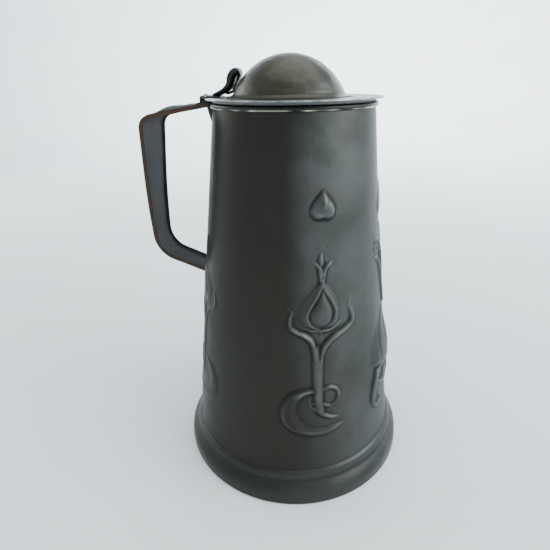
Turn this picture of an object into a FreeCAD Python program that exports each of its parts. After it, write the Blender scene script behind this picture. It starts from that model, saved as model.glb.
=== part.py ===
"""Lidded pewter tankard: tapered body on a spread foot, strap handle, hinged domed lid.

Millimetres.  +Z is up, the origin is on the body's axis in the plane that the foot stands on,
the handle points along -X and the pouring side along +X.  The hinge pin lies along Y.
"""
import FreeCAD, Part
import math
import os

V = FreeCAD.Vector

# ---- driving dimensions -------------------------------------------------------------------
RIM_Z = 250.0            # height of the rim bead's middle
SEAM_Z = 22.0            # height where the body meets the foot
RIM_R = 49.2             # outside radius of the body wall at RIM_Z
SEAM_R = 75.6            # outside radius of the body wall at SEAM_Z
SHEET = 1.2              # thickness of the body sheet
LIP_RISE = 1.5           # how far the wall stands above the middle of the rim bead

BEAD_HALF = 1.7          # half height of the half-round rim bead
BEAD_PROUD = 1.8         # how far the rim bead stands out of the wall

FOOT_R = 84.4            # outside radius of the foot at the table
FOOT_SHEET = 1.3         # thickness of the foot's sheet
EDGE_WIRE_W = 2.4        # width of the wire soldered inside the foot's edge
EDGE_WIRE_H = 2.0        # height of that wire
FLOOR_TOP_Z = 24.0       # inside bottom of the vessel
FLOOR_SHEET = 1.4        # thickness of the bottom disc
FLOOR_FLANGE = 5.0       # height of the bottom disc's turned-up flange

STRAP_WEB = 1.2          # thickness of the handle strap
STRAP_DEPTH = 2.7        # depth of its turned-in edges, web included
STRAP_EDGE = 1.3         # thickness of those edges
STRAP_END_X = 48.5       # start of the strap's side profile, inside the bead that trims it
STRAP_TOP_Z = 252.45     # height of the strap's upper face at that end
STRAP_TOP_HALF = 13.0    # half width of the strap at the hinge
STRAP_CORNER_HALF = 18.7 # half width of the strap at its upper corner
STRAP_FOOT_HALF = 11.0   # half width of the strap at its lower end
TONGUE_HALF = 12.0       # half width of the forked wedge under the strap's upper end
TONGUE_TOP_Z = 251.0     # top of that wedge, against the strap
TONGUE_TIP_Z = 241.0     # its two tips
TONGUE_NOTCH_Z = 246.0   # the notch between them
TONGUE_TIP_PROUD = 0.8   # how far the wedge stands off the wall at its tips
TONGUE_TOP_PROUD = 4.4   # and at its top

HINGE_X = 54.8           # distance of the hinge pin from the axis
HINGE_Z = 253.8          # height of the hinge pin
KNUCKLE_R = 1.75         # outside radius of the hinge knuckles
PIN_R = 0.85             # radius of the hinge pin
PIN_CLEAR = 0.05         # radial clearance of the pin in the lid's knuckle
HINGE_HALF = 10.0        # half length of the whole hinge
KNUCKLE_HALF = 5.8       # half length of the lid's own knuckle
KNUCKLE_GAP = 0.25       # gap between neighbouring knuckles
STOP_OPEN_DEG = 105.0    # angle at which the lid's stop nib lands on the fixed leaf
STOP_REACH = 2.4         # reach of the stop nib from the pin's axis
STOP_HALF = 0.5          # half thickness of the stop nib
STOP_WIDE = 3.0          # half width of the stop nib
STOP_GAP = 0.08          # air left under the nib at that angle
LEAF_SHEET = 0.7         # thickness of the leaf on the strap
LEAF_NEAR_X = 52.2       # the ends of that leaf, from the axis
LEAF_FAR_X = 59.5
LEAF_LID_SHEET = 1.0     # thickness of the leaf on the brim
LEAF_LID_X = 44.8        # end of that leaf, from the axis

BRIM_R = 53.7            # outside radius of the lid's brim
BRIM_Z = 253.2           # underside of the brim
BRIM_SHEET = 0.8         # thickness of the brim
COLLAR_R = 46.9          # outside radius of the collar that drops into the mouth
COLLAR_SHEET = 1.2       # thickness of the collar
COLLAR_DROP = 6.0        # how far the collar reaches below the brim
SEAT_R = 49.0            # outside radius of the collar's seat above the rim
SEAT_GAP = 0.3           # air between the seat and the rim when the lid is closed

DOME_SHIFT = 3.0         # how far the dome sits off the axis, towards the hinge
DOME_BALL_R = 37.0       # radius of the dome's sphere
DOME_TOP_Z = 277.9       # top of the dome
DOME_SHEET = 1.0         # thickness of the dome
DOME_FOOT_R = 38.6       # outside radius of the dome's turned-out flange

THUMB_HALF = 8.0         # half width of the thumbpiece

OUT = "parts"


# ---- small helpers ------------------------------------------------------------------------
def cone_r(z):
    """Outside radius of the body wall at height z."""
    return RIM_R + (SEAM_R - RIM_R) * (RIM_Z - z) / (RIM_Z - SEAM_Z)


def spun(points, x=0.0):
    """Solid of revolution about a vertical axis at x of a closed (radius, height) outline.

    An entry of three numbers (radius, height, "arc") makes the point the middle of an arc.
    """
    edges = []
    ring = list(points) + [points[0]]
    i = 0
    while i < len(ring) - 1:
        start = V(x + ring[i][0], 0, ring[i][1])
        if len(ring[i + 1]) == 3:
            middle = V(x + ring[i + 1][0], 0, ring[i + 1][1])
            end = V(x + ring[i + 2][0], 0, ring[i + 2][1])
            edges.append(Part.Arc(start, middle, end).toShape())
            i += 2
        else:
            end = V(x + ring[i + 1][0], 0, ring[i + 1][1])
            edges.append(Part.LineSegment(start, end).toShape())
            i += 1
    face = Part.Face(Part.Wire(edges))
    return face.revolve(V(x, 0, 0), V(0, 0, 1), 360)


def prism_y(face, half):
    """Extrude a face that lies in the XZ plane by half to each side."""
    face = face.copy()
    face.translate(V(0, -half, 0))
    return face.extrude(V(0, 2 * half, 0))


def polygon(points):
    """Face from a closed loop of vectors joined by straight lines."""
    return Part.Face(Part.makePolygon(list(points) + [points[0]]))


def box(low, high):
    """Box between two corners."""
    size = [high[i] - low[i] for i in range(3)]
    return Part.makeBox(*size, V(*low))


def rod_y(radius, y_from, y_to, x, z):
    """Round rod along Y."""
    return Part.makeCylinder(radius, y_to - y_from, V(x, y_from, z), V(0, 1, 0))


def shifted_line(a, b, distance):
    """Line through a and b moved to its right-hand side by distance, as point and direction."""
    length = math.hypot(b[0] - a[0], b[1] - a[1])
    direction = ((b[0] - a[0]) / length, (b[1] - a[1]) / length)
    point = (a[0] + direction[1] * distance, a[1] - direction[0] * distance)
    return point, direction


def crossing(first, second):
    """Crossing point of two lines given as point and direction."""
    (p, d), (q, e) = first, second
    cross = d[0] * e[1] - d[1] * e[0]
    t = ((q[0] - p[0]) * e[1] - (q[1] - p[1]) * e[0]) / cross
    return (p[0] + d[0] * t, p[1] + d[1] * t)


def rounded_path(corners, radii, inset):
    """Edges of a path with rounded corners, moved inwards (to its right) by inset."""
    lines = [shifted_line(a, b, inset) for a, b in zip(corners, corners[1:])]
    points = [lines[0][0]]
    points += [crossing(a, b) for a, b in zip(lines, lines[1:])]
    last, direction = lines[-1]
    length = math.hypot(corners[-1][0] - corners[-2][0], corners[-1][1] - corners[-2][1])
    points.append((last[0] + direction[0] * length, last[1] + direction[1] * length))
    edges = []
    here = points[0]
    for i, radius in enumerate(radii):
        corner, after = points[i + 1], points[i + 2]
        before = points[i]
        back = math.atan2(before[1] - corner[1], before[0] - corner[0])
        ahead = math.atan2(after[1] - corner[1], after[0] - corner[0])
        half = abs((ahead - back + math.pi) % (2 * math.pi) - math.pi) / 2
        reach = (radius - inset) / math.tan(half)
        start = (corner[0] + reach * math.cos(back), corner[1] + reach * math.sin(back))
        end = (corner[0] + reach * math.cos(ahead), corner[1] + reach * math.sin(ahead))
        bulge = (radius - inset) * (1 / math.sin(half) - 1)
        chord = ((start[0] + end[0]) / 2 - corner[0], (start[1] + end[1]) / 2 - corner[1])
        size = math.hypot(*chord)
        middle = (corner[0] + chord[0] / size * bulge, corner[1] + chord[1] / size * bulge)
        edges.append(Part.LineSegment(handle_v(here), handle_v(start)).toShape())
        edges.append(Part.Arc(handle_v(start), handle_v(middle), handle_v(end)).toShape())
        here = end
    edges.append(Part.LineSegment(handle_v(here), handle_v(points[-1])).toShape())
    return edges


def handle_v(point, y=0.0):
    """Vector of a point given as (distance from the axis towards the handle, height)."""
    return V(-point[0], y, point[1])


# ---- vessel -------------------------------------------------------------------------------
def make_body_wall():
    """Straight tapered sheet cone, open at both ends."""
    top = RIM_Z + LIP_RISE
    return spun([
        (cone_r(SEAM_Z), SEAM_Z),
        (cone_r(top), top),
        (cone_r(top) - SHEET, top),
        (cone_r(SEAM_Z) - SHEET, SEAM_Z),
    ])


def make_rim_bead():
    """Half-round wire soldered round the outside of the lip."""
    low, high = RIM_Z - BEAD_HALF, RIM_Z + LIP_RISE
    return spun([
        (cone_r(low), low),
        (RIM_R + BEAD_PROUD, RIM_Z, "arc"),
        (cone_r(high), high),
    ])


def foot_outline(inset):
    """Outside of the foot from the seam down to the table, moved in by inset."""
    return [
        (SEAM_R - inset, SEAM_Z),
        (77.4 - inset, 19.2, "arc"),
        (78.3 - inset, 15.6),
        (81.9 - inset, 9.6, "arc"),
        (FOOT_R - 0.4 - inset, 2.2),
        (FOOT_R - inset, 0.9),
        (FOOT_R - 0.3 - inset, 0.0),
    ]


def make_foot_skirt():
    """Spun ring with a small roll under the seam and a long full flare below it."""
    outside = foot_outline(0.0)
    inside = [
        (FOOT_R - 0.3 - FOOT_SHEET, 0.0),
        (FOOT_R - 0.4 - FOOT_SHEET, 2.2),
        (81.9 - FOOT_SHEET, 9.6, "arc"),
        (78.3 - FOOT_SHEET, 15.6),
        (77.4 - FOOT_SHEET, 18.6, "arc"),
        (SEAM_R - FOOT_SHEET - 1.6, SEAM_Z - FOOT_SHEET),
        (SEAM_R - FOOT_SHEET - 1.6, SEAM_Z),
    ]
    return spun(outside + inside)


def make_foot_edge_wire():
    """Flat wire soldered inside the foot's lower edge, flush with the table."""
    outer = FOOT_R - 0.4 - FOOT_SHEET - 0.05
    return spun([
        (outer, 0.0),
        (outer, EDGE_WIRE_H),
        (outer - EDGE_WIRE_W, EDGE_WIRE_H),
        (outer - EDGE_WIRE_W, 0.0),
    ])


def make_bottom_disc():
    """Dished disc that closes the vessel, its flange soldered inside the wall."""
    low = FLOOR_TOP_Z - FLOOR_SHEET
    high = low + FLOOR_FLANGE
    return spun([
        (0.0, low),
        (cone_r(low) - SHEET, low),
        (cone_r(high) - SHEET, high),
        (cone_r(high) - SHEET - FLOOR_SHEET, high),
        (cone_r(FLOOR_TOP_Z) - SHEET - FLOOR_SHEET, FLOOR_TOP_Z),
        (0.0, FLOOR_TOP_Z),
    ])


# ---- handle -------------------------------------------------------------------------------
STRAP_CORNERS = [
    (STRAP_END_X, STRAP_TOP_Z),
    (94.9, 244.4),
    (98.8, 190.0),
    (98.5, 151.0),
    (58.0, 136.1),
]
STRAP_RADII = [9.5, 500.0, 20.0]


def strap_band(outer_inset, inner_inset, half):
    """Band between two insets of the strap's side profile, half wide to each side."""
    outer = rounded_path(STRAP_CORNERS, STRAP_RADII, outer_inset)
    inner = rounded_path(STRAP_CORNERS, STRAP_RADII, inner_inset)
    start = outer[0].Vertexes[0].Point
    end = outer[-1].Vertexes[-1].Point
    inner_start = inner[0].Vertexes[0].Point
    inner_end = inner[-1].Vertexes[-1].Point
    edges = outer + [Part.LineSegment(end, inner_end).toShape()]
    edges += inner + [Part.LineSegment(inner_start, start).toShape()]
    wire = Part.Wire(Part.__sortEdges__(edges))
    return prism_y(Part.Face(wire), half)


def strap_outline(inset):
    """Space inside the strap's edges: tapering down the grip and in towards the hinge."""
    upper, lower = STRAP_CORNER_HALF - inset, STRAP_FOOT_HALF - inset
    front = polygon([
        V(-120, -upper, 256), V(-120, upper, 256),
        V(-120, upper, 244), V(-120, lower, 142),
        V(-120, lower, 120), V(-120, -lower, 120),
        V(-120, -lower, 142), V(-120, -upper, 244),
    ]).extrude(V(90, 0, 0))
    narrow = STRAP_TOP_HALF - inset
    plan = polygon([
        V(-30, -narrow, 100), V(-30, narrow, 100),
        V(-60, narrow, 100), V(-84, upper, 100), V(-120, upper, 100),
        V(-120, -upper, 100), V(-84, -upper, 100), V(-60, -narrow, 100),
    ]).extrude(V(0, 0, 170))
    return front.common(plan)


def body_cone(clear):
    """Solid cone of the body's outside, grown by clear."""
    low, high = 60.0, RIM_Z + 12
    return Part.makeCone(cone_r(low) + clear, cone_r(high) + clear, high - low, V(0, 0, low))


def make_handle_strap():
    """Sheet strap with its two edges turned in, from the rim bead round to the lower body."""
    full = strap_band(0.0, STRAP_DEPTH, 30).common(strap_outline(0.0))
    hollow = strap_band(STRAP_WEB, STRAP_DEPTH + 4, 30).common(strap_outline(STRAP_EDGE))
    strap = full.cut(hollow)
    strap = strap.cut(body_cone(0.0))
    clear_bead = Part.makeCylinder(RIM_R + BEAD_PROUD, 20, V(0, 0, RIM_Z - 8))
    return strap.cut(clear_bead)


def make_handle_foot():
    """Small turned-down plate that the strap's lower end is soldered to."""
    top, tip = 138.3, 131.0
    half = STRAP_FOOT_HALF
    plate = polygon([
        V(-90, -half, top), V(-90, half, top), V(-90, half, top - 4.5),
        V(-90, 0, tip), V(-90, -half, top - 4.5),
    ]).extrude(V(60, 0, 0))
    plate = plate.common(body_cone(SHEET)).cut(body_cone(0.0))
    return plate.cut(make_handle_strap())


def make_handle_tongue():
    """Forked wedge under the strap's upper end, soldered to the wall below the bead."""
    half, top, tip, notch = TONGUE_HALF, TONGUE_TOP_Z, TONGUE_TIP_Z, TONGUE_NOTCH_Z
    fork = polygon([
        V(-80, -half, top), V(-80, half, top), V(-80, half * 0.9, tip),
        V(-80, 0, notch), V(-80, -half * 0.9, tip),
    ]).extrude(V(60, 0, 0))
    wedge = Part.makeCone(cone_r(tip) + TONGUE_TIP_PROUD, cone_r(top) + TONGUE_TOP_PROUD,
                          top - tip, V(0, 0, tip))
    bead = Part.makeCylinder(RIM_R + BEAD_PROUD + 0.05, 10, V(0, 0, RIM_Z - BEAD_HALF - 0.05))
    fork = fork.common(wedge).cut(body_cone(0.0)).cut(bead)
    return fork.cut(make_handle_strap()).removeSplitter()


# ---- hinge --------------------------------------------------------------------------------
def strap_top_z(x):
    """Height of the strap's upper face at distance x from the axis."""
    first, second = STRAP_CORNERS[0], STRAP_CORNERS[1]
    return first[1] + (second[1] - first[1]) * (x - first[0]) / (second[0] - first[0])


def make_hinge_fixed_leaf():
    """Leaf soldered on the strap's top, with the two outer knuckles."""
    near, far = LEAF_NEAR_X, LEAF_FAR_X
    leaf = prism_y(polygon([
        handle_v((near, strap_top_z(near))), handle_v((far, strap_top_z(far))),
        handle_v((far, strap_top_z(far) + LEAF_SHEET)), handle_v((near, strap_top_z(near) + LEAF_SHEET)),
    ]), HINGE_HALF)
    inner = KNUCKLE_HALF + KNUCKLE_GAP
    shape = leaf
    for side in (-1, 1):
        y_from, y_to = sorted((side * inner, side * HINGE_HALF))
        cheek = box((-HINGE_X - KNUCKLE_R, y_from, strap_top_z(HINGE_X) + LEAF_SHEET / 2),
                    (-HINGE_X + KNUCKLE_R, y_to, HINGE_Z))
        shape = shape.fuse(cheek).fuse(rod_y(KNUCKLE_R, y_from, y_to, -HINGE_X, HINGE_Z))
    swept = rod_y(KNUCKLE_R + KNUCKLE_GAP, -inner, inner, -HINGE_X, HINGE_Z)
    shape = shape.cut(swept)
    shape = shape.cut(rod_y(PIN_R, -HINGE_HALF - 1, HINGE_HALF + 1, -HINGE_X, HINGE_Z))
    return shape.cut(make_handle_strap()).removeSplitter()


def make_hinge_pin():
    """Pin with peened ends, tight in the outer knuckles."""
    pin = rod_y(PIN_R, -HINGE_HALF - 0.3, HINGE_HALF + 0.3, -HINGE_X, HINGE_Z)
    for side in (-1, 1):
        head = Part.makeCone(PIN_R + 0.45, PIN_R * 0.7, 0.7,
                             V(-HINGE_X, side * HINGE_HALF, HINGE_Z), V(0, side, 0))
        pin = pin.fuse(head)
    return pin.removeSplitter()


def make_hinge_lid_leaf():
    """Middle knuckle with the leaf that lies on the brim and the nib that stops the lid."""
    body = rod_y(KNUCKLE_R, -KNUCKLE_HALF, KNUCKLE_HALF, -HINGE_X, HINGE_Z)
    top = BRIM_Z + BRIM_SHEET
    leaf = box((-HINGE_X, -KNUCKLE_HALF, top), (-LEAF_LID_X, KNUCKLE_HALF, top + LEAF_LID_SHEET))
    # The nib's leading corner meets the fixed leaf when the lid stands fully open.
    corner_r = math.hypot(STOP_REACH, STOP_HALF)
    corner_deg = math.degrees(math.atan2(STOP_HALF, STOP_REACH))
    depth = HINGE_Z - LEAF_SHEET - STOP_GAP - strap_top_z(HINGE_X + STOP_REACH / 2)
    nib_deg = STOP_OPEN_DEG + corner_deg - math.degrees(math.asin(depth / corner_r))
    nib = box((0, -STOP_WIDE, -STOP_HALF), (STOP_REACH, STOP_WIDE, STOP_HALF))
    nib.rotate(V(0, 0, 0), V(0, 1, 0), nib_deg - 180)
    nib.translate(V(-HINGE_X, 0, HINGE_Z))
    shape = body.fuse(leaf).fuse(nib)
    bore = rod_y(PIN_R + PIN_CLEAR, -HINGE_HALF, HINGE_HALF, -HINGE_X, HINGE_Z)
    return shape.cut(bore).removeSplitter()


# ---- lid ----------------------------------------------------------------------------------
def make_lid_brim():
    """Thin flat brim that overhangs the rim bead, with an opening under the dome."""
    brim = spun([
        (0.0, BRIM_Z),
        (BRIM_R - 0.3, BRIM_Z),
        (BRIM_R, BRIM_Z + BRIM_SHEET / 2, "arc"),
        (BRIM_R - 0.3, BRIM_Z + BRIM_SHEET),
        (0.0, BRIM_Z + BRIM_SHEET),
    ])
    opening = Part.makeCylinder(32.0, 5, V(-DOME_SHIFT, 0, BRIM_Z - 2))
    notch = rod_y(KNUCKLE_R + 0.5, -HINGE_HALF - 0.6, HINGE_HALF + 0.6, -HINGE_X, HINGE_Z)
    return brim.cut(opening).cut(notch)


def make_lid_collar():
    """Ring under the brim: a seat over the rim and a collar that drops into the mouth."""
    seat_low = RIM_Z + LIP_RISE + SEAT_GAP
    return spun([
        (COLLAR_R - COLLAR_SHEET, BRIM_Z),
        (COLLAR_R - COLLAR_SHEET, BRIM_Z - COLLAR_DROP),
        (COLLAR_R, BRIM_Z - COLLAR_DROP),
        (COLLAR_R, seat_low),
        (SEAT_R, seat_low),
        (SEAT_R, BRIM_Z),
    ])


def make_lid_dome():
    """Raised dome with a small hollow curve running out into a flat flange."""
    centre_z = DOME_TOP_Z - DOME_BALL_R
    top = BRIM_Z + BRIM_SHEET
    turn = math.radians(25.0)
    mid = math.radians(57.0)
    inner = DOME_BALL_R - DOME_SHEET
    ring = DOME_BALL_R * math.cos(turn)
    ring_z = centre_z + DOME_BALL_R * math.sin(turn)
    inner_ring = inner * math.cos(turn)
    inner_ring_z = centre_z + inner * math.sin(turn)
    return spun([
        (0.0, DOME_TOP_Z),
        (DOME_BALL_R * math.cos(mid), centre_z + DOME_BALL_R * math.sin(mid), "arc"),
        (ring, ring_z),
        (ring + 1.3, top + 1.5),
        (DOME_FOOT_R - 1.6, top + 0.8),
        (DOME_FOOT_R, top + 0.6),
        (DOME_FOOT_R, top),
        (inner_ring - 0.4, top),
        (inner_ring, inner_ring_z),
        (inner * math.cos(mid), centre_z + inner * math.sin(mid), "arc"),
        (0.0, DOME_TOP_Z - DOME_SHEET),
    ], -DOME_SHIFT)


def closed_curve(points):
    """Face inside a smooth closed curve through handle-side points."""
    curve = Part.BSplineCurve()
    curve.interpolate([handle_v(p) for p in points], PeriodicFlag=True)
    return Part.Face(Part.Wire(curve.toShape()))


def make_thumbpiece():
    """Looped strip: rises from the leaf, rolls over at the top and leans back on the dome."""
    top = BRIM_Z + BRIM_SHEET + 1.0
    loop = closed_curve([
        (50.6, top + 0.9), (46.9, 257.8), (44.0, 258.9), (42.2, 260.6), (40.9, 263.0),
        (39.6, 265.4), (37.6, 268.1), (34.9, 269.8), (32.6, 269.4), (31.9, 267.4),
        (32.8, 265.2), (34.2, 262.8), (35.6, 260.4), (37.2, 257.9), (40.6, 256.6), (46.0, top + 0.4),
        (49.0, top),
    ])
    hole = closed_curve([
        (38.3, 260.0), (38.4, 262.6), (37.7, 265.0), (36.2, 267.3), (34.3, 268.2),
        (33.5, 267.2), (34.1, 265.3), (35.5, 262.8), (36.8, 260.6),
    ])
    half = THUMB_HALF
    strip = prism_y(loop, half).cut(prism_y(hole, half + 1))
    leg = box((-40.2, -1.5, BRIM_Z + BRIM_SHEET), (-38.9, 1.5, 258.0))
    strip = strip.fuse(leg).removeSplitter()
    centre_z = DOME_TOP_Z - DOME_BALL_R
    ball = Part.makeSphere(DOME_BALL_R, V(-DOME_SHIFT, 0, centre_z))
    strip = strip.cut(ball)
    return strip.cut(make_lid_dome()).cut(make_hinge_lid_leaf())


# ---- write every piece --------------------------------------------------------------------
PIECES = {
    "body_wall": make_body_wall,
    "rim_bead": make_rim_bead,
    "foot_skirt": make_foot_skirt,
    "foot_edge_wire": make_foot_edge_wire,
    "bottom_disc": make_bottom_disc,
    "handle_strap": make_handle_strap,
    "handle_foot": make_handle_foot,
    "handle_tongue": make_handle_tongue,
    "hinge_fixed_leaf": make_hinge_fixed_leaf,
    "hinge_pin": make_hinge_pin,
    "hinge_lid_leaf": make_hinge_lid_leaf,
    "lid_brim": make_lid_brim,
    "lid_collar": make_lid_collar,
    "lid_dome": make_lid_dome,
    "thumbpiece": make_thumbpiece,
}

os.makedirs(OUT, exist_ok=True)
for name, make in PIECES.items():
    shape = make()
    shape.exportStep(f"{OUT}/{name}.step")
    size = shape.BoundBox
    print(f"{name:18s} solids {len(shape.Solids)} valid {shape.isValid()} volume {shape.Volume:9.1f} "
          f"x {size.XMin:7.2f} {size.XMax:7.2f} y {size.YMin:7.2f} {size.YMax:7.2f} "
          f"z {size.ZMin:7.2f} {size.ZMax:7.2f}")
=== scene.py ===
"""Looks of the lidded pewter tankard: patinated pewter with relief, painted shade on the handle side, rubbed
edges with painted highlights on some, painted shadow on the rim bead, a hammered dome.
"""
import math

import bmesh
import bpy
import numpy as np
from mathutils import Euler, Matrix, Vector


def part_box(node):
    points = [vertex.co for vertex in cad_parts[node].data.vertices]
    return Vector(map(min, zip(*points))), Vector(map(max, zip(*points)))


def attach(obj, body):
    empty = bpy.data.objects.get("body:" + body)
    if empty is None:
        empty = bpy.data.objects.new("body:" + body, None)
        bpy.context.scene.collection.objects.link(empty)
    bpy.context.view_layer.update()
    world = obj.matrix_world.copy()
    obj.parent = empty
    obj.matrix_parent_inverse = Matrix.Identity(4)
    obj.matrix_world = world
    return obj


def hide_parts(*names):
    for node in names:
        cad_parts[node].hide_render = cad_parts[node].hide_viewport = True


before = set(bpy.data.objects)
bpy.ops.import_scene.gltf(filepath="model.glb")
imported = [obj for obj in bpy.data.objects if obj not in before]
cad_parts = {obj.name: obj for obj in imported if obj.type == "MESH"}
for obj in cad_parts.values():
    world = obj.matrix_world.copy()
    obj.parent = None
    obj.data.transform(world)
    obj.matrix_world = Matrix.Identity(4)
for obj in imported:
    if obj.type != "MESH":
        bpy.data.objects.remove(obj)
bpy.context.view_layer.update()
MM = 0.001
TAU = 2 * math.pi

# ---- sizes in mm, from the frame, and the few that no box gives ---------------------------
wall_lo, wall_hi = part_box("body_wall")
brim_lo, brim_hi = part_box("lid_brim")
dome_lo, dome_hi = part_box("lid_dome")
SEAM_Z, TOP_Z = wall_lo.z / MM, wall_hi.z / MM
SEAM_R = wall_hi.x / MM
LAP_Z = SEAM_Z - 4.0         # the wall's lower edge, hidden inside the foot
RIM_R, RIM_Z = 49.2, 250.0   # the wall at the middle of the rim bead
SHEET = 1.2                  # thickness of the wall
BRIM_Z, BRIM_TOP = brim_lo.z / MM, brim_hi.z / MM
BRIM_R = brim_hi.x / MM
DOME_TOP = dome_hi.z / MM
DOME_X = (dome_lo.x + dome_hi.x) / 2 / MM
DOME_R = 37.0                # radius of the dome's ball
DOME_SHEET = 1.0
DOME_FOOT_R = (dome_hi.x - dome_lo.x) / 2 / MM
BEAD_R = 51.0                # outside radius of the rim bead
BEAD_HALF = 1.65             # half height of the rim bead
BEAD_PROUD = 1.7             # how far it stands out of the wall

# how many columns of points go round each spun piece, and how many rows go up the wall
WALL_ROUND, WALL_RISE = 760, 400
RING_ROUND = 420
DOME_ROUND = 300


def wall_r(z):
    """Outside radius of the plain wall at height z, in mm."""
    return RIM_R + (SEAM_R - RIM_R) * (RIM_Z - z) / (RIM_Z - SEAM_Z)


# ---- small tools --------------------------------------------------------------------------
def smooth(x, low, high):
    """0 below low, 1 above high, smooth between."""
    t = np.clip((x - low) / (high - low), 0.0, 1.0)
    return t * t * (3 - 2 * t)


def bell(x, middle, half):
    """1 at middle, falling off smoothly to nothing a few halves away."""
    return np.exp(-((x - middle) / half) ** 2)


def flowing(points, steps=10):
    """Points along a smooth line through the given points (Catmull-Rom)."""
    p = np.array(points, float)
    p = np.vstack([2 * p[0] - p[1], p, 2 * p[-1] - p[-2]])
    out = []
    for i in range(1, len(p) - 2):
        for t in np.arange(steps) / steps:
            a, b, c, d = p[i - 1:i + 3]
            out.append(0.5 * (2 * b + (c - a) * t + (2 * a - 5 * b + 4 * c - d) * t ** 2
                              + (3 * b - a - 3 * c + d) * t ** 3))
    out.append(p[-2])
    return np.array(out)


def flowing_loop(points, steps=10):
    """The same for a closed line."""
    p = list(points)
    line = flowing([p[-1]] + p + p[:2], steps)
    return line[steps:-steps - 1]


def mirrored(points):
    """A closed line from its right half, which starts and ends on the middle line."""
    return points + [(-x, y) for x, y in points[-2:0:-1]]


def to_line(s, z, line):
    """Distance from each (s, z) to a line of points, and where along it, 0 to 1."""
    best = np.full(s.shape, 1e9)
    along = np.zeros(s.shape)
    length = np.concatenate([[0], np.cumsum(np.hypot(*np.diff(line, axis=0).T))])
    for i in range(len(line) - 1):
        a, b = line[i], line[i + 1]
        d = b - a
        n = max(d @ d, 1e-12)
        t = np.clip(((s - a[0]) * d[0] + (z - a[1]) * d[1]) / n, 0, 1)
        gap = np.hypot(s - a[0] - t * d[0], z - a[1] - t * d[1])
        near = gap < best
        best = np.where(near, gap, best)
        along = np.where(near, (length[i] + t * (length[i + 1] - length[i])) / length[-1], along)
    return best, along


def inside(s, z, line):
    """True where (s, z) is inside a closed line."""
    hit = np.zeros(s.shape, bool)
    for a, b in zip(line, np.roll(line, -1, axis=0)):
        if a[1] == b[1]:
            continue
        cross = (a[1] > z) != (b[1] > z)
        hit ^= cross & (s < a[0] + (z - a[1]) / (b[1] - a[1]) * (b[0] - a[0]))
    return hit


class Relief:
    """Height of raised work over a flat field, built up stroke by stroke."""

    def __init__(self, s, z):
        self.s, self.z = s, z
        self.h = np.zeros(s.shape)

    def near(self, line, reach):
        """Where the field is within reach of a line's bounding box."""
        low, high = line.min(axis=0) - reach, line.max(axis=0) + reach
        return (self.s > low[0]) & (self.s < high[0]) & (self.z > low[1]) & (self.z < high[1])

    def cord(self, points, widths, height, power=1.3):
        """A rounded raised line. widths are half widths, spread evenly along it."""
        line = flowing(points)
        m = self.near(line, max(widths))
        gap, along = to_line(self.s[m], self.z[m], line)
        half = np.interp(along, np.linspace(0, 1, len(widths)), widths)
        tall = height * np.clip(half / max(widths), 0.35, 1.0)
        self.h[m] = np.maximum(self.h[m], tall * np.clip(1 - (gap / half) ** 2, 0, 1) ** power)

    def add_cord(self, points, half, height):
        """Adds to what is there: a fine ridge, or a chased groove if height is negative."""
        line = flowing(points)
        m = self.near(line, 3 * half)
        gap, along = to_line(self.s[m], self.z[m], line)
        fade = smooth(along, -0.001, 0.12) * (1 - smooth(along, 0.85, 1.0)) + 0.15
        self.h[m] += height * np.clip(fade, 0, 1) * np.exp(-(gap / half) ** 2)

    def leaf(self, points, height, edge, power=0.75):
        """A domed or flat-topped shape inside a closed smooth line; edge is its shoulder's width."""
        line = flowing_loop(points)
        m = self.near(line, 0.5)
        s, z = self.s[m], self.z[m]
        gap, _ = to_line(s, z, np.vstack([line, line[:1]]))
        t = np.clip(gap / edge, 0, 1)
        crown = height * (1 - (1 - t) ** 2) ** power
        self.h[m] = np.where(inside(s, z, line), np.maximum(self.h[m], crown), self.h[m])

    def pit(self, centre, half, depth):
        """A round dimple."""
        gap = np.hypot(self.s - centre[0], self.z - centre[1])
        self.h = self.h - depth * np.exp(-(gap / half) ** 2)


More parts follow.
